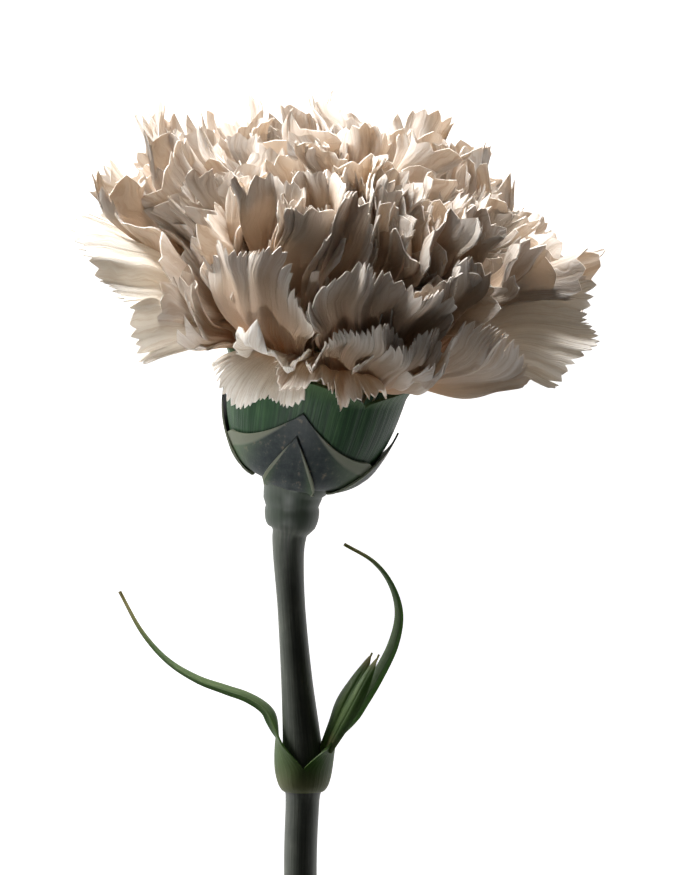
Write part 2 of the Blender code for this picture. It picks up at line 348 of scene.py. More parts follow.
def makeCalyxFinish():
    finish = Finish("calyx skin")
    across, along = finish.uv()
    ribs = finish.noise(1, 3, 0.6, finish.point(across * 230, along * 2.2))
    patches = finish.noise(160, 3)
    colour = (ribs * 0.7 + patches * 0.3).ramp(
        (0.3, (0.004, 0.012, 0.006)), (0.5, (0.008, 0.030, 0.010)), (0.7, (0.030, 0.070, 0.026)),
    )
    tips = along.between(0.72, 1.0)
    colour = finish.mixed(tips * 0.4, colour, (0.06, 0.10, 0.04, 1))
    normal = finish.bump(ribs, 0.25, 0.6)
    skin = finish.skin(colour, 0.38 + patches * 0.2, normal, Specular_IOR_Level=0.18)
    return finish.close(skin)


def makeBractFinish():
    finish = Finish("bract skin")
    across, along = finish.uv()
    speck = finish.noise(900, 4, 0.75)
    ribs = finish.noise(1, 3, 0.6, finish.point(across * 40, along * 2))
    colour = (speck * 0.75 + ribs * 0.25).ramp(
        (0.4, (0.003, 0.007, 0.009)), (0.56, (0.012, 0.019, 0.018)), (0.72, (0.12, 0.09, 0.065)),
    )
    offCentre = across * 2 - 1
    aside = offCentre.maths("ABSOLUTE", offCentre, 0)
    wings = (aside + along * 0.3 - 0.35).between(0.1, 0.65) * 0.75
    colour = finish.mixed(wings, colour, (0.055, 0.085, 0.040, 1))
    upper = along - 0.55
    edge = (aside + upper.maths("MAXIMUM", upper, 0) * 1.7).between(0.84, 1.0)
    colour = finish.mixed(edge * 0.6, colour, (0.30, 0.31, 0.24, 1))
    normal = finish.bump(speck * 0.5 + ribs * 0.5, 0.15, 0.6)
    skin = finish.skin(colour, 0.55, normal, Specular_IOR_Level=0.25)
    return finish.close(finish.mixedSurface(edge * 0.5, skin, finish.glow((0.34, 0.36, 0.27, 1), normal)))


def makeStemFinish():
    finish = Finish("stem skin")
    across, along = finish.uv()
    streaks = finish.noise(1, 3, 0.6, finish.point(across * 60, along * 10))
    waxy = finish.noise(220, 4, 0.6)
    colour = (streaks * 0.6 + waxy * 0.4).ramp(
        (0.3, (0.030, 0.036, 0.027)), (0.5, (0.060, 0.068, 0.052)), (0.7, (0.115, 0.125, 0.098)),
    )
    collar = along.between(0.87, 0.9) * 0.65
    colour = finish.mixed(collar, colour, (0.016, 0.030, 0.016, 1))
    cutFace = 1 - along.between(0.012, 0.016)
    colour = finish.mixed(cutFace, colour, (0.42, 0.46, 0.24, 1))
    normal = finish.bump(streaks * 0.6 + waxy * 0.5, 0.2, 0.5)
    return finish.close(finish.skin(colour, 0.42 + waxy * 0.2, normal, Coat_Weight=0.1, Coat_Roughness=0.4))


def makeLeafFinish():
    finish = Finish("leaf skin")
    across, along = finish.uv()
    lines = finish.noise(1, 2, 0.5, finish.point(across * 34, along * 2.5))
    waxy = finish.noise(300, 4, 0.6)
    colour = (lines * 0.6 + waxy * 0.4).ramp(
        (0.3, (0.035, 0.062, 0.016)), (0.5, (0.075, 0.125, 0.034)), (0.7, (0.17, 0.22, 0.085)),
    )
    dryTip = along.between(0.8, 1.0) * 0.8
    colour = finish.mixed(dryTip, colour, (0.34, 0.24, 0.11, 1))
    paleSheath = (0.16 - along).between(0, 0.1) * 0.7
    colour = finish.mixed(paleSheath, colour, (0.17, 0.16, 0.055, 1))
    normal = finish.bump(lines * 0.8 + waxy * 0.3, 0.15, 0.6)
    skin = finish.skin(colour, 0.46, normal, Specular_IOR_Level=0.45)
    return finish.close(finish.mixedSurface(0.35, skin, finish.glow((0.18, 0.36, 0.05, 1), normal)))


def makePistilFinish():
    finish = Finish("pistil skin")
    grain = finish.noise(900, 3)
    colour = grain.ramp((0.3, (0.45, 0.52, 0.26)), (0.7, (0.72, 0.74, 0.50)))
    return finish.close(finish.skin(colour, 0.55, finish.bump(grain, 0.1, 0.5)))


petalFinishes = {kind: makePetalFinish(kind) for kind in petalLook}
calyxFinish = makeCalyxFinish()
bractFinish = makeBractFinish()
stemFinish = makeStemFinish()
leafFinish = makeLeafFinish()
pistilFinish = makePistilFinish()
print("finishes made")

# petals

petals = {
    "count": 46,
    "goldenAngle": 137.508,
    "firstAzimuth": 15.0,
    "rows": 40,
    "columnsPerTooth": 4,
    "clawShare": 0.16,  # of the rows, for the narrow foot of a petal
    "clawWidth": 1.7,
    "thickness": 0.2,
    # from the middle petal to the outermost
    "footRadii": (1.7, 5.7),
    "footHeight": 2.7,
    "throatRadii": (2.2, 9.6),
    "throatHeights": (33.0, 17.8),
    "throatLeans": (3, 16),
    "widths": (0.4, 0.5),  # as shares of a blade's length
    "bends": (9, 38),  # radius that a blade curves round, across
    "teeth": (22, 28),
    # drawn for each petal between these
    "longer": (-1.5, 1.5),
    "fans": (46, 56),
    "waves": (2.2, 3.4),
    "folds": (-0.5, 0.5),
    "twists": (-22, 22),
    "curls": (-1.2, 1.2),
    # the same for all that the rule makes
    "ruffle": 2.6,
    "toothDepth": 1.25,
    "pleats": 0.22,
    "lobes": 0.06,  # how uneven the length is, as a share
    "cutFrom": 0.72,  # share of the blade where its teeth begin
    "roundness": 0.8,  # of the margin: 0 is straight across, 1 an arc
    "shortRuffle": 0.38,  # share of the long ruffle's height
    "widestWrap": 1.1,  # radians
    "withInner": (36, 26),  # this many, from the middle, have one smaller petal beside them, and a second
    "alone": (30, 32, 35),  # but not these
}

# petals set one by one, by their number: the rest follow the bloom's rule
handSet = {
    # the lowest ring: the hanging petal, those in front and the two side fans
    40: {"azimuth": 335, "tip": (23, 13.2), "throatLean": 60, "tipLean": 165, "width": 0.56,
         "ruffle": 0.7, "twist": 0, "fold": 0.0, "crumple": 0.3, "curl": 0, "waves": 1.2, "pleats": 0.1,
         "toothDepth": 0.8},
    32: {"azimuth": 342, "tip": (27, 25), "throatLean": 92, "tipLean": -20, "width": 0.34,
         "ruffle": 1.0, "curl": 1.5, "teeth": 8, "toothDepth": 2.4, "waves": 1.6, "twist": 0,
         "longer": 0, "pleats": 0.1},
    35: {"azimuth": 5, "tip": (27.2, 18.0), "throatLean": 66, "tipLean": 124, "width": 0.55,
         "ruffle": 1.3, "fold": 0, "twist": 0, "waves": 2.2, "crumple": 0.3, "longer": 0, "curl": 0,
         "phase": 0, "pleats": 0.1},
    43: {"azimuth": 29, "tip": (28, 29), "throatLean": 98, "tipLean": 2, "width": 0.32, "ruffle": 0.9,
         "waves": 2.0, "twist": 4, "longer": 0, "fold": 0, "pleats": 0.1},
    38: {"azimuth": 50, "tip": (28, 31), "throatLean": 100, "tipLean": 4, "width": 0.42, "ruffle": 1.2,
         "twist": 8, "longer": 0, "pleats": 0.12},
    30: {"azimuth": 14, "tip": (26, 29.5), "throat": (9.4, 18.2), "throatLean": 90, "tipLean": -4,
         "width": 0.5, "ruffle": 0.9, "waves": 2.0, "longer": 0, "twist": 0, "fold": 0, "pleats": 0.1},
    46: {"azimuth": 83, "tip": (37.4, 27.6), "throatLean": 40, "tipLean": 92, "width": 0.38, "fan": 34,
         "ruffle": 1.0, "twist": -64, "fold": 0.1, "crumple": 0.5, "waves": 1.8, "teeth": 18,
         "toothDepth": 1.1, "pleats": 0.12},
    45: {"azimuth": 297, "tip": (39.6, 25), "throatLean": 40, "tipLean": 104, "width": 0.56,
         "ruffle": 1.3, "twist": 38, "fold": 0.1, "longer": 0, "pleats": 0.12},
    # the standing fans above them
    27: {"azimuth": 335, "tip": (29.5, 37.5), "throat": (9.0, 18.4), "throatLean": 76, "tipLean": 14,
         "width": 0.38, "ruffle": 1.1, "twist": 0, "fold": 0.1, "crumple": 0.6, "waves": 1.3,
         "longer": 0, "curl": 0, "pleats": 0.08},
    22: {"azimuth": 17, "tip": (28, 38.8), "throat": (8.8, 19.0), "throatLean": 78, "tipLean": 12,
         "width": 0.44, "ruffle": 1.4, "fold": 0.1, "longer": 0, "twist": 6, "curl": 0, "pleats": 0.1},
    17: {"azimuth": 43, "tip": (27, 39), "throat": (8.2, 20.0), "throatLean": 70, "tipLean": 14,
         "width": 0.42, "ruffle": 1.6, "fold": 0, "longer": 0, "pleats": 0.12},
    25: {"azimuth": 70, "tip": (27.5, 40.5), "throatLean": 58, "tipLean": 30, "width": 0.42},
    24: {"azimuth": 302, "tip": (27, 28.5), "throat": (8.6, 19.0), "throatLean": 70, "tipLean": 10,
         "width": 0.4, "ruffle": 2.0},
    37: {"azimuth": 285, "tip": (33, 37), "throatLean": 40, "tipLean": 14, "width": 0.46, "fold": 0.5},
    19: {"azimuth": 331, "tip": (25.5, 45.5), "throat": (7.2, 22), "throatLean": 50, "tipLean": 4,
         "width": 0.42, "ruffle": 3.2, "waves": 2.2, "fold": 0},
    14: {"azimuth": 350, "tip": (22, 43.5), "throat": (7.2, 22), "throatLean": 50, "tipLean": 2,
         "width": 0.36, "ruffle": 2.2},
    9: {"azimuth": 42, "tip": (25, 45.5), "throatLean": 46, "tipLean": 10, "width": 0.4, "ruffle": 2.6},
    6: {"azimuth": 18, "tip": (19, 45.5), "throatLean": 36, "tipLean": 4, "width": 0.34, "ruffle": 2.4},
    4: {"azimuth": 56, "tip": (17, 47.2), "tipLean": 10, "width": 0.36},
    11: {"azimuth": 300, "tip": (26, 39.5), "throatLean": 46, "tipLean": 10, "width": 0.38,
         "ruffle": 2.6},
    12: {"azimuth": 82, "tip": (20.5, 47), "tipLean": 18, "width": 0.38},
    3: {"azimuth": 292, "tip": (17.5, 44), "tipLean": 6, "width": 0.36},
    1: {"azimuth": 336, "tip": (10.5, 50.5), "tipLean": 3, "width": 0.36},
    # the margins behind and beside, which make the outline
    33: {"azimuth": 95, "tip": (33.5, 33.5), "tipLean": 62, "width": 0.4, "ruffle": 3.2, "waves": 3},
    16: {"tip": (29, 38.5), "tipLean": 20, "width": 0.36},
    8: {"tip": (22, 42.5), "tipLean": 12, "width": 0.36},
    42: {"azimuth": 250, "tip": (35, 40), "tipLean": 40, "width": 0.4},
    34: {"azimuth": 235, "tip": (33, 43), "tipLean": 30, "width": 0.42},
    29: {"azimuth": 270, "tip": (38, 32.5), "tipLean": 50, "width": 0.42},
    20: {"azimuth": 102, "tip": (25, 42.5), "tipLean": 34},
}

# the smaller petals beside the inner ones: turns, shares and rises count from the petal each grows with
innerPetals = {
    "turns": (28, 60),
    "radiusShares": (0.66, 0.84),
    "rises": (-0.5, 3.0),
    "riseTimes": 4,
    "topHeight": 56,  # where the rise has shrunk to nothing
    "footShare": 0.8,
    "leanShare": 0.6,
    "widths": (0.32, 0.42),
    "narrower": 0.05,  # for the second one
    "ruffles": (2.2, 3.0),
    "waves": (1.8, 2.8),
    "folds": (-0.6, 0.6),
    "teeth": 18,
    "toothDepth": 1.3,
}

crumple = {
    "height": 1.0,  # of the longest wave, and shorter ones are lower
    "waves": 7,
    "shortest": 9.0,
    "longest": 22.0,
}


def crumpleWaves():
    dice = random.Random(5)
    waves = []
    for _ in range(crumple["waves"]):
        length = dice.uniform(crumple["shortest"], crumple["longest"])
        heading = Vector([dice.gauss(0, 1) for _ in range(3)]).normalized()
        push = Vector([dice.gauss(0, 1) for _ in range(3)]).normalized()
        height = crumple["height"] * length / crumple["longest"]
        phase = dice.uniform(0, math.tau)
        waves.append((np.array(heading) * math.tau / length, np.array(push) * height, phase))
    return waves


sharedWaves = crumpleWaves()


def crumpled(points, share):
    shift = sum(
        np.sin(points @ heading + phase)[:, None] * push for heading, push, phase in sharedWaves
    )
    return points + shift * share[:, None]


def petalSpec(number):
    level = (number + 0.5) / petals["count"]
    spread = math.radians(bloom["domeSpread"]) * level**0.7
    dice = random.Random(400 + number)
    azimuth = petals["firstAzimuth"] + number * petals["goldenAngle"]
    nearness = max(0.0, math.cos(math.radians(azimuth)))
    spec = {
        "azimuth": azimuth,
        "foot": (between(*petals["footRadii"], level**0.5), petals["footHeight"]),
        "throat": (
            between(*petals["throatRadii"], level**0.6),
            between(*petals["throatHeights"], level**0.75),
        ),
        "tip": (
            bloom["domeRadius"] * math.sin(spread) ** bloom["domeFullness"],
            bloom["domeHeight"] + bloom["domeRise"] * math.copysign(
                abs(math.cos(spread)) ** bloom["domeFullness"], math.cos(spread)
            ),
        ),
        "throatLean": (
            between(*petals["throatLeans"], level) + bloom["frontOpening"] * level * nearness
        ),
        "tipLean": (
            float(np.interp(level, *zip(*bloom["tipLeans"]))) * (1 - bloom["frontUpright"] * nearness)
        ),
        "longer": dice.uniform(*petals["longer"]),
        "fan": dice.uniform(*petals["fans"]),
        "width": between(*petals["widths"], level),
        "bend": between(*petals["bends"], level),
        "ruffle": petals["ruffle"],
        "waves": dice.uniform(*petals["waves"]),
        "phase": dice.uniform(0, 360),
        "fold": dice.uniform(*petals["folds"]),
        "twist": dice.uniform(*petals["twists"]),
        "curl": dice.uniform(*petals["curls"]),
        "teeth": round(between(*petals["teeth"], level)),
        "toothDepth": petals["toothDepth"],
        "pleats": petals["pleats"],
        "crumple": 1.0,
        "seed": number,
    }
    spec.update(handSet.get(number + 1, {}))
    return spec


def innerSpec(number, which):
    # a smaller petal that grows beside an inner one, from the same foot
    spec = petalSpec(number)
    dice = random.Random(2000 + number + which * 500)
    radius, height = spec["tip"]
    side = random.Random(2000 + number).choice((-1, 1)) * (1 - 2 * which)
    shrink = 1 - height / innerPetals["topHeight"]
    spec["azimuth"] += side * dice.uniform(*innerPetals["turns"])
    spec["tip"] = (
        radius * dice.uniform(*innerPetals["radiusShares"]),
        height + dice.uniform(*innerPetals["rises"]) * shrink * innerPetals["riseTimes"],
    )
    spec["foot"] = (spec["foot"][0] * innerPetals["footShare"], spec["foot"][1])
    spec["tipLean"] *= innerPetals["leanShare"]
    spec["width"] = dice.uniform(*innerPetals["widths"]) - innerPetals["narrower"] * which
    spec["ruffle"] = dice.uniform(*innerPetals["ruffles"])
    spec["waves"] = dice.uniform(*innerPetals["waves"])
    spec["phase"] = dice.uniform(0, 360)
    spec["fold"] = dice.uniform(*innerPetals["folds"])
    spec["teeth"] = innerPetals["teeth"]
    spec["toothDepth"] = innerPetals["toothDepth"]
    spec["seed"] = number + 100 + which * 100
    return spec


def bladeCurve(spec):
    # points along the midrib as (radius, height), and the length up to each
    throat, tip = np.array(spec["throat"]), np.array(spec["tip"])
    startLean, endLean = math.radians(spec["throatLean"]), math.radians(spec["tipLean"])
    pull = 0.34 * np.linalg.norm(tip - throat)
    first = throat + pull * np.array([math.sin(startLean), math.cos(startLean)])
    last = tip - pull * np.array([math.sin(endLean), math.cos(endLean)])
    t = np.linspace(0, 1, 48)[:, None]
    curve = (1 - t)**3 * throat + 3 * (1 - t)**2 * t * first + 3 * (1 - t) * t**2 * last + t**3 * tip
    steps = np.linalg.norm(np.diff(curve, axis=0), axis=1)
    return curve, np.concatenate([[0], np.cumsum(steps)])


def alongCurve(curve, lengths, reach):
    # place and heading at each reach, run on straight past the end
    heading = np.gradient(curve, lengths, axis=0)
    past = np.maximum(0, reach - lengths[-1])
    radius = np.interp(reach, lengths, curve[:, 0]) + past * heading[-1, 0]
    height = np.interp(reach, lengths, curve[:, 1]) + past * heading[-1, 1]
    turnR = np.interp(reach, lengths, heading[:, 0])
    turnH = np.interp(reach, lengths, heading[:, 1])
    size = np.hypot(turnR, turnH)
    return radius, height, turnR / size, turnH / size


def toothColumns(spec):
    # for each grid column: its place across the fan, and how deep the margin is cut there
    dice = random.Random(900 + spec["seed"])
    widths = np.array([dice.uniform(0.55, 1.45) for _ in range(spec["teeth"])])
    edges = np.concatenate([[0], np.cumsum(widths)]) / widths.sum() * 2 - 1
    valleys = [dice.uniform(0.5, 1.25) * spec["toothDepth"] for _ in range(spec["teeth"] + 1)]
    valleys = [v + (dice.uniform(1.2, 3.0) if dice.random() < 0.13 else 0) for v in valleys]
    columns, cuts = [], []
    steps = petals["columnsPerTooth"]
    for i in range(spec["teeth"]):
        peak = dice.uniform(0.35, 0.65)
        for k in range(steps):
            share = k / steps
            place = np.interp(share, [0, 0.5, 1], [0, peak, 1])
            columns.append(between(edges[i], edges[i + 1], place))
            cuts.append(np.interp(share, [0, 0.25, 0.5, 0.75, 1], [
                valleys[i], valleys[i] * 0.42, 0, valleys[i + 1] * 0.42, valleys[i + 1]
            ]))
    return np.array(columns + [1.0]), np.array(cuts + [valleys[-1]])


def petalShape(spec):
    curve, lengths = bladeCurve(spec)
    columns, cuts = toothColumns(spec)
    dice = random.Random(1300 + spec["seed"])
    wobbles = [(dice.uniform(1, 4), dice.uniform(0, math.tau), dice.uniform(0.3, 1)) for _ in range(3)]
    pleats = dice.uniform(8, 12)
    azimuth = math.radians(spec["azimuth"])
    phase = math.radians(spec["phase"])

    def shape(u, v):
        column = np.round(u * (len(columns) - 1)).astype(int)
        across, cut = columns[column], cuts[column]
        claw = petals["clawShare"]
        t = np.clip((v - claw) / (1 - claw), 0, 1)
        clawT = np.clip(v / claw, 0, 1)
        angle = across * math.radians(spec["fan"])
        lobes = 1 + petals["lobes"] * sum(a * np.sin(across * n * 2 + p) for n, p, a in wobbles)
        length = (lengths[-1] + spec["longer"]) * lobes
        span = length * t - cut * smooth((t - petals["cutFrom"]) / (1 - petals["cutFrom"]))
        reach = span * between(1, np.cos(angle), petals["roundness"])
        side = petals["clawWidth"] / 2 * across + spec["width"] * span * np.sin(angle)
        radius, height, turnR, turnH = alongCurve(curve, lengths, np.maximum(0, reach))
        foot, throat = spec["foot"], spec["throat"]
        inClaw = v < claw
        radius = np.where(inClaw, between(foot[0], throat[0], clawT), radius)
        height = np.where(inClaw, between(foot[1], throat[1], clawT), height)

        # ruffles, pleats, a fold along the midrib, a twist and a curled margin
        swell = spec["ruffle"] * t**1.5
        turn = math.pi * spec["waves"] * across + phase + 0.6 * t
        wave = swell * (np.sin(turn) + petals["shortRuffle"] * np.sin(2.7 * turn + 1.3))
        side = side + swell * 0.55 * np.cos(turn)
        wave += spec["pleats"] * t**3 * np.sin(math.pi * pleats * across + phase)
        wave += spec["fold"] * np.abs(side) * t
        twist = math.radians(spec["twist"]) * smooth(t * 2.5)
        side, wave = (
            side * np.cos(twist) - wave * np.sin(twist),
            side * np.sin(twist) + wave * np.cos(twist),
        )
        roll = sum(a * np.sin(across * n * 3 + p) for n, p, a in wobbles) * 0.6
        wave += (spec["curl"] * 1.4 + roll) * smooth((t - 0.6) / 0.4) ** 1.5

        # wrapped round the bloom, lifted at its rim and tucked in front
        bend = np.maximum(spec["bend"], radius)
        wrap = petals["widestWrap"] * np.tanh(side / bend / petals["widestWrap"])
        radial = radius + bend * (np.cos(wrap) - 1) + wave * turnH * np.cos(wrap)
        lateral = bend * np.sin(wrap) + wave * turnH * np.sin(wrap)
        height = height - wave * turnR
        turned = azimuth + np.arctan2(lateral, radial)
        away = np.hypot(radial, lateral)
        height = height + rimLift(away, turned)
        radial, lateral = radial * tucked(away, turned), lateral * tucked(away, turned)
        local = np.stack([
            radial * math.cos(azimuth) - lateral * math.sin(azimuth),
            radial * math.sin(azimuth) + lateral * math.cos(azimuth),
            height,
        ], axis=-1)
        points = crumpled(calyxFoot + local @ bloomAxes, spec["crumple"] * t**1.2)
        return pressed(points)

    return shape


def makeBlade(name, spec):
    return bentGrid(name, spec["teeth"] * petals["columnsPerTooth"], petals["rows"], petalShape(spec))


def makePetal(number):
    name = f"petal_{number + 1:02d}"
    piece = makeBlade(name + "_blade", petalSpec(number))
    for which, howMany in enumerate(petals["withInner"]):
        if number < howMany and number + 1 not in petals["alone"]:
            inner = makeBlade("inner", innerSpec(number, which))
            piece.select_set(True)
            inner.select_set(True)
            bpy.context.view_layer.objects.active = piece
            bpy.ops.object.join()
    thicken(piece, petals["thickness"])
    kind = next((k for k in petalKinds if number + 1 in petalKinds[k]), "inner")
    finishPiece(piece, petalFinishes[kind], "petal", name)


for petalNumber in range(petals["count"]):
    makePetal(petalNumber)
print("petals made:", petals["count"])

# stem

stem = {
    "line": (  # across, along, radius: from the cut end, through the joint and collar, into the calyx
        (1.6, -113.5, 2.45), (1.3, -99.5, 2.4), (0.7, -77.5, 2.4), (0.5, -58.5, 2.45), (0.8, -49.0, 2.5),
        (0.9, -46.9, 2.65), (0.92, -45.9, 2.95), (0.95, -44.4, 3.2), (0.95, -42.5, 3.1), (0.65, -37.5, 2.75),
        (0.0, -29.5, 2.3), (-0.7, -19.5, 2.05), (-1.1, -12.0, 2.25), (-1.0, -8.8, 2.5), (-0.85, -8.1, 2.6),
        (-0.75, -7.6, 3.1), (-0.7, -7.2, 3.55), (-0.65, -6.4, 3.85), (-0.6, -5.4, 3.98), (-0.58, -4.5, 3.95),
        (-0.55, -4.1, 3.62), (-0.53, -3.8, 4.05), (-0.5, -3.0, 4.3), (-0.4, -2.3, 4.3), (-0.3, -1.8, 4.6),
        (-0.1, -1.1, 4.95), (0.0, -0.4, 4.85), (0.15, 0.5, 4.4), (0.2, 1.2, 4.3),
    ),
    "endHeight": 2.41,
    "rows": 150,
    "sides": 56,
    "ridges": 0.008,  # as a share of the radius
    "cutSlant": 0.35,
    "slantRows": 6,
}


def stemHeight(along):
    low = stem["line"][0][1]
    return between(stem["endHeight"], bloom["footHeight"], (along - low) / -low)


def stemPath():
    # rows stand closer together towards the collar
    knots = np.array([(x, y, stemHeight(y) - bloom["footHeight"], r) for x, y, r in stem["line"]])
    knots[:, :3] += calyxFoot
    steps = np.linalg.norm(np.diff(knots[:, :3], axis=0), axis=1)
    shares = np.interp(
        np.linspace(0, 1, stem["rows"] - 5) ** 0.7,
        np.concatenate([[0], np.cumsum(steps)]) / steps.sum(),
        np.linspace(0, 1, len(knots)),
    )
    return smoothLine(knots, shares)


def makeStem():
    path = stemPath()
    heading = np.gradient(path[:, :3], axis=0)
    heading /= np.linalg.norm(heading, axis=1)[:, None]
    over = np.array([0, 0, 1]) - heading * heading[:, 2:]
    over /= np.linalg.norm(over, axis=1)[:, None]
    right = np.cross(heading, over)
    row = np.clip(np.arange(stem["rows"] + 1) - 3, 0, len(path) - 1)
    # the first rows close the cut end, and the last closes the top
    fill = np.ones(stem["rows"] + 1)
    fill[:3] = (0, 0.6, 0.95)
    fill[-1] = 0
    dice = random.Random(3)
    ridges = [(dice.randint(3, 9), dice.uniform(0, math.tau), dice.uniform(0.3, 1)) for _ in range(4)]

    def shape(u, v):
        level = np.round(v * stem["rows"]).astype(int)
        at = row[level]
        angle = u * math.tau
        ripple = 1 + stem["ridges"] * sum(a * np.sin(n * angle + p + at * 0.02) for n, p, a in ridges)
        radius = (path[at, 3] * ripple * fill[level])[:, None]
        angle = angle[:, None]
        points = path[at, :3] + radius * (np.cos(angle) * over[at] + np.sin(angle) * right[at])
        slant = np.maximum(0, (stem["slantRows"] - at) / stem["slantRows"])
        above = np.maximum(0, points[:, 2] - stem["endHeight"] + 2)
        points[:, 1] += slant * stem["cutSlant"] * above
        return points

    piece = bentGrid("stem_skin", stem["sides"], stem["rows"], shape, closed=True)
    finishPiece(piece, stemFinish, "stem", "stem")


makeStem()

# calyx and bracts

calyx = {
    "wall": (  # radius and height of the wall's middle
        (4.9, 0.35), (7.4, 1.0), (9.0, 2.2), (10.2, 4.2), (11.5, 7.5), (12.3, 11.0), (12.8, 14.9),
    ),
    "thickness": 0.5,
    "teeth": 5,
    "toothHeight": 3.2,
    "toothFlare": 1.4,
    "columns": 240,
    "rows": 44,
    "ribs": 60,
    "ribHeight": 0.02,
    "bodyShare": 0.75,  # of the rows, below the teeth
}


def wallAt(height, outside):
    knots = np.array(calyx["wall"])
    finer = smoothLine(knots, np.linspace(0, 1, 80))
    lean = np.arctan2(np.gradient(finer[:, 0]), np.gradient(finer[:, 1]))
    lean = np.interp(height, finer[:, 1], lean)
    radius = np.interp(height, finer[:, 1], finer[:, 0])
    return radius + outside * np.cos(lean), height - outside * np.sin(lean)


def makeCalyx():
    wall = smoothLine(calyx["wall"], np.linspace(0, 1, 60))

    def shape(u, v):
        azimuth = u * math.tau
        body = np.clip(v / calyx["bodyShare"], 0, 1)
        radius = np.interp(body, np.linspace(0, 1, len(wall)), wall[:, 0])
        height = np.interp(body, np.linspace(0, 1, len(wall)), wall[:, 1])
        place = (u * calyx["teeth"] + 0.5) % 1
        tooth = (1 - np.abs(2 * place - 1)) ** 0.5 * 0.92 + 0.08
        share = np.clip((v - calyx["bodyShare"]) / (1 - calyx["bodyShare"]), 0, 1) * tooth
        radius = radius + calyx["toothFlare"] * share**1.5
        height = height + calyx["toothHeight"] * share
        radius = radius + calyx["ribHeight"] * np.cos(calyx["ribs"] * azimuth) * smooth(v * 4)
        radius = radius - 0.18 * np.exp(-(((place + 0.5) % 1 - 0.5) / 0.05) ** 2) * smooth((v - 0.3) * 2)
        return bloomPoints(radius, azimuth, height)

    piece = bentGrid("calyx_cup", calyx["columns"], calyx["rows"], shape, closed=True)
    thicken(piece, calyx["thickness"])
    finishPiece(piece, calyxFinish, "calyx", "calyx")


bracts = {
    "thickness": 0.26,
    "columns": 48,
    "rows": 28,
    # tip and lobe are heights, wrap is half a bract's turn, outside counts from the middle of the calyx wall
    "inner_bract": {
        "tip": 13.2, "wrap": 74, "lobe": 6.4, "taper": 2.6, "outside": 0.44, "azimuths": (-3, 180),
    },
    "side_bract": {
        "tip": 10.4, "wrap": 44, "lobe": 2.2, "taper": 1.5, "outside": 0.78, "azimuths": (-96, 84),
    },
    "outer_bract": {
        "tip": 9.8, "wrap": 28, "lobe": 0.8, "taper": 1.15, "outside": 1.12, "azimuths": (-4, 180),
    },
}


def makeBract(name, kind, azimuth):
    plan = bracts[kind]

    def shape(u, v):
        across = u * 2 - 1
        top = plan["lobe"] + (plan["tip"] - plan["lobe"]) * (1 - np.abs(across)) ** plan["taper"]
        top = top - 1.2 * np.maximum(0, np.abs(across) - 0.8) / 0.2
        height = between(0.9, np.maximum(top, 1.0), v)
        outside = plan["outside"] * between(0.7, 1, smooth(v * 3)) + 0.15 * v**3
        radius, height = wallAt(height, outside)
        keel = 0.22 * np.exp(-((across / 0.12) ** 2)) * smooth(1 - v)
        return bloomPoints(radius + keel, np.radians(azimuth + plan["wrap"] * across), height)

    piece = bentGrid(name + "_scale", bracts["columns"], bracts["rows"], shape)
    thicken(piece, bracts["thickness"])
    finishPiece(piece, bractFinish, "bract", name)


makeCalyx()
for kindName, sides in (
    ("inner_bract", ("upper", "lower")),
    ("side_bract", ("left", "right")),
    ("outer_bract", ("upper", "lower")),
):
    for sideName, turn in zip(sides, bracts[kindName]["azimuths"]):
        makeBract(f"{kindName}_{sideName}", kindName, turn)
print("stem, calyx and bracts made")

# leaves

leaves = {
    "thickness": 0.3,
    "columns": 24,
    "rows": 90,
    "sheathShare": 0.2,  # of the rows
    "sheathHalfWraps": (94, 58),  # at its foot and its mouth
    "sheathMiddle": 1.0,  # across, from the calyx's foot
    "sheath": (  # along, radius
        (-46.6, 2.85), (-46.3, 3.2), (-45.6, 3.6), (-44.4, 3.95), (-42.9, 4.2), (-41.5, 4.35), (-40.2, 4.5),
    ),
    # middle line as (across, along, up from the calyx's foot, width)
    "leaf_left": {
        "side": -1,
        "roll": 12,
        "line": (
            (-3.0, -37.6, -7.7, 5.2), (-4.3, -34.7, -8.0, 4.2), (-7.1, -32.8, -8.3, 3.6),
            (-10.6, -31.6, -8.7, 3.3), (-14.8, -30.1, -9.1, 2.9), (-19.2, -27.4, -9.8, 2.3),
            (-23.0, -23.2, -10.6, 1.5), (-26.4, -17.3, -11.6, 0.05),
        ),
    },
    "leaf_right": {
        "side": 1,
        "roll": -10,
        "line": (
            (6.4, -38.2, -7.6, 5.4), (9.0, -34.1, -7.0, 5.0), (11.7, -29.7, -6.4, 4.4),
            (14.1, -24.9, -5.9, 3.7), (15.0, -20.3, -5.6, 2.9), (13.9, -16.1, -5.5, 2.0),
            (11.3, -12.7, -5.8, 1.2), (7.0, -10.1, -6.3, 0.05),
        ),
    },
    "shoot_leaf_front": {
        "side": 0,
        "roll": 65,
        "line": (
            (3.6, -41.0, -6.4, 1.2), (5.6, -37.0, -4.9, 2.6), (7.2, -33.7, -4.2, 3.7),
            (9.0, -30.1, -3.7, 2.4), (11.1, -25.9, -3.4, 0.05),
        ),
    },
    "shoot_leaf_back": {
        "side": 0,
        "roll": 65,
        "line": (
            (4.6, -40.4, -5.2, 1.2), (7.0, -35.9, -3.2, 2.0), (8.6, -32.9, -2.0, 2.0),
            (10.3, -29.5, -1.4, 1.4), (12.1, -26.0, -1.2, 0.05),
        ),
    },
}


def rowsAt(rows, at):
    return np.stack([np.interp(at, np.arange(len(rows)), column) for column in rows.T], axis=-1)


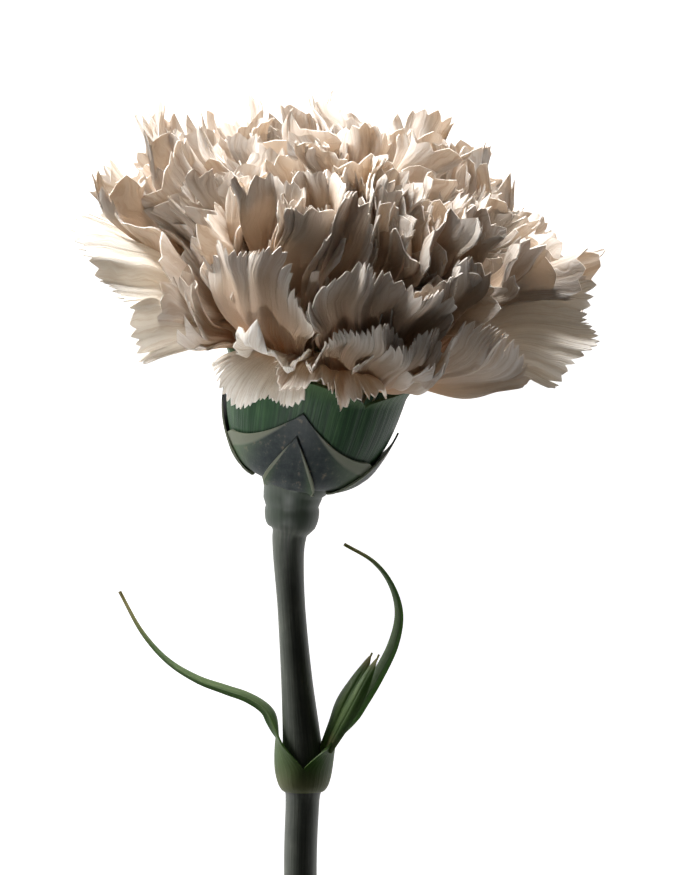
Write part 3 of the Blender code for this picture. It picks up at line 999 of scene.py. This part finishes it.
def makeLeaf(name):
    plan = leaves[name]
    side = plan["side"] or 1
    line = smoothLine(plan["line"], np.linspace(0, 1, leaves["rows"] + 1))
    heading = np.gradient(line[:, :3], axis=0)
    heading /= np.linalg.norm(heading, axis=1)[:, None]
    over = np.array([0, 0, 1]) - heading * heading[:, 2:]
    over /= np.linalg.norm(over, axis=1)[:, None]
    beside = np.cross(heading, over)
    roll = math.radians(plan["roll"])
    edgeways = over * math.cos(roll) + beside * math.sin(roll)
    inward = np.cross(heading, edgeways) * (-1 if side < 0 else 1)
    sheath = smoothLine(leaves["sheath"], np.linspace(0, 1, 30))
    sheathShare = leaves["sheathShare"] if plan["side"] else 0

    def shape(u, v):
        across = u * 2 - 1
        blade = np.clip((v - sheathShare) / (1 - sheathShare), 0, 1)
        at = blade * leaves["rows"]
        middle, out, inn = rowsAt(line, at), rowsAt(edgeways, at), rowsAt(inward, at)
        half = middle[:, 3] / 2
        dip = 0.62 * (across**2 - 0.5) + 0.1 * np.exp(-((across / 0.12) ** 2))
        ripple = 0.12 * np.sin(9 * v + 2 * across) * blade
        points = calyxFoot + middle[:, :3] + out * (half * across)[:, None]
        points = points + inn * (half * dip + ripple)[:, None]
        if sheathShare:
            share = np.clip(v / sheathShare, 0, 1)
            along = np.interp(share, np.linspace(0, 1, 30), sheath[:, 0])
            radius = np.interp(share, np.linspace(0, 1, 30), sheath[:, 1])
            halfWrap = np.radians(between(*leaves["sheathHalfWraps"], smooth((share - 0.58) / 0.42)))
            wrap = side * math.pi / 2 - side * across * halfWrap
            aside = leaves["sheathMiddle"] + radius * np.sin(wrap)
            rise = stemHeight(along) - bloom["footHeight"] + radius * np.cos(wrap)
            tube = calyxFoot + np.stack([aside, along, rise], axis=-1)
            blend = smooth((v - sheathShare * 0.55) / (sheathShare * 0.9))[:, None]
            points = tube * (1 - blend) + points * blend
        return points

    piece = bentGrid(name + "_blade", leaves["columns"], leaves["rows"], shape)
    thicken(piece, leaves["thickness"])
    finishPiece(piece, leafFinish, "leaf", name)


for leafName in ("leaf_left", "leaf_right", "shoot_leaf_front", "shoot_leaf_back"):
    makeLeaf(leafName)
print("leaves made")


# pistil

pistil = {
    "line": (  # radius, height
        (0.0, 2.6), (0.9, 2.9), (1.2, 4.4), (1.25, 7), (1.1, 10),
        (0.7, 12.5), (0.4, 15), (0.3, 21), (0.2, 26.8), (0, 27),
    ),
    "rows": 59,
    "sides": 20,
}


def makePistil():
    path = smoothLine(pistil["line"], np.linspace(0, 1, pistil["rows"] + 1))

    def shape(u, v):
        at = np.round(v * pistil["rows"]).astype(int)
        return bloomPoints(np.abs(path[at, 0]), u * math.tau, path[at, 1])

    piece = bentGrid("pistil_styles", pistil["sides"], pistil["rows"], shape, closed=True)
    finishPiece(piece, pistilFinish, "pistil", "pistil")


makePistil()
print("pistil made")

# floor, light, camera

studio = {
    "floorSize": 4.0,
    "floorGlow": 1.0,
    "floorColour": (0.8, 0.8, 0.8, 1),
    "ambient": 0.045,
    "backdrop": 1.0,
    "cameraLens": 135,
    "cameraHeight": 500,
    "viewMiddle": (7.87, 5.6),  # from the calyx's foot
    "lamps": (  # name, place, aim, size, watts
        ("left lamp", (-0.5, 0.36, 0.02), (0, 0.05, 0.03), 0.25, 8.0),
        ("head lamp", (-0.1, 0.7, 0.03), (0, 0.05, 0.03), 0.3, 14.5),
        ("foot lamp", (-0.42, -0.25, 0.07), (0, 0.03, 0.03), 0.25, 0.4),
    ),
    # a narrow spot that lights the low petals in front
    "spotAim": (-6, 11, 12),  # millimetres from the calyx's foot
    "spotOffset": (-0.12, -0.28, 0.3),  # from there
    "spotSize": 0.02,
    "spotWatts": 22.0,
    "spotCone": 4,
}


def makeFloor():
    bpy.ops.object.select_all(action="DESELECT")
    bpy.ops.mesh.primitive_plane_add(size=studio["floorSize"], location=(0, 0, 0))
    floor = bpy.context.active_object
    floor.name = "floor"
    finish = Finish("light table")
    skin = finish.add("ShaderNodeBsdfPrincipled", {}, {
        "Base Color": studio["floorColour"],
        "Roughness": 0.6,
        "Emission Color": (1, 1, 1, 1),
        "Emission Strength": studio["floorGlow"],
    })
    floor.data.materials.append(finish.close(skin))


def makeWorld():
    world = bpy.data.worlds.new("room")
    bpy.context.scene.world = world
    world.use_nodes = True
    nodes, links = world.node_tree.nodes, world.node_tree.links
    light = nodes["Background"]
    light.inputs["Color"].default_value = (1, 1, 1, 1)
    light.inputs["Strength"].default_value = studio["ambient"]
    seen = nodes.new("ShaderNodeBackground")
    seen.inputs["Strength"].default_value = studio["backdrop"]
    seen.inputs["Color"].default_value = (1, 1, 1, 1)
    path = nodes.new("ShaderNodeLightPath")
    mix = nodes.new("ShaderNodeMixShader")
    links.new(path.outputs["Is Camera Ray"], mix.inputs[0])
    links.new(light.outputs[0], mix.inputs[1])
    links.new(seen.outputs[0], mix.inputs[2])
    links.new(mix.outputs[0], nodes["World Output"].inputs["Surface"])


def makeLamp(name, place, aim, size, power, cone=0):
    data = bpy.data.lights.new(name, "SPOT" if cone else "AREA")
    if cone:
        data.shadow_soft_size = size
        data.spot_size = math.radians(cone)
        data.spot_blend = 1
    else:
        data.size = size
    data.energy = power
    lamp = bpy.data.objects.new(name, data)
    lamp.visible_camera = False
    lamp.location = place
    lamp.rotation_euler = (Vector(aim) - Vector(place)).to_track_quat("-Z", "Y").to_euler()
    bpy.context.scene.collection.objects.link(lamp)


def makeSpot():
    aim = (calyxFoot + np.array(studio["spotAim"])) * mm
    place = aim + np.array(studio["spotOffset"])
    makeLamp("low petals lamp", place, aim, studio["spotSize"], studio["spotWatts"], studio["spotCone"])


def makeCamera():
    data = bpy.data.cameras.new("camera")
    data.lens = studio["cameraLens"]
    camera = bpy.data.objects.new("camera", data)
    middle = calyxFoot[:2] + np.array(studio["viewMiddle"])
    camera.location = (middle[0] * mm, middle[1] * mm, studio["cameraHeight"] * mm)
    bpy.context.scene.collection.objects.link(camera)
    bpy.context.scene.camera = camera


makeFloor()
makeWorld()
for lampValues in studio["lamps"]:
    makeLamp(*lampValues)
makeSpot()
makeCamera()
bpy.context.scene.view_settings.view_transform = "Standard"
print("floor, lamps and camera made")
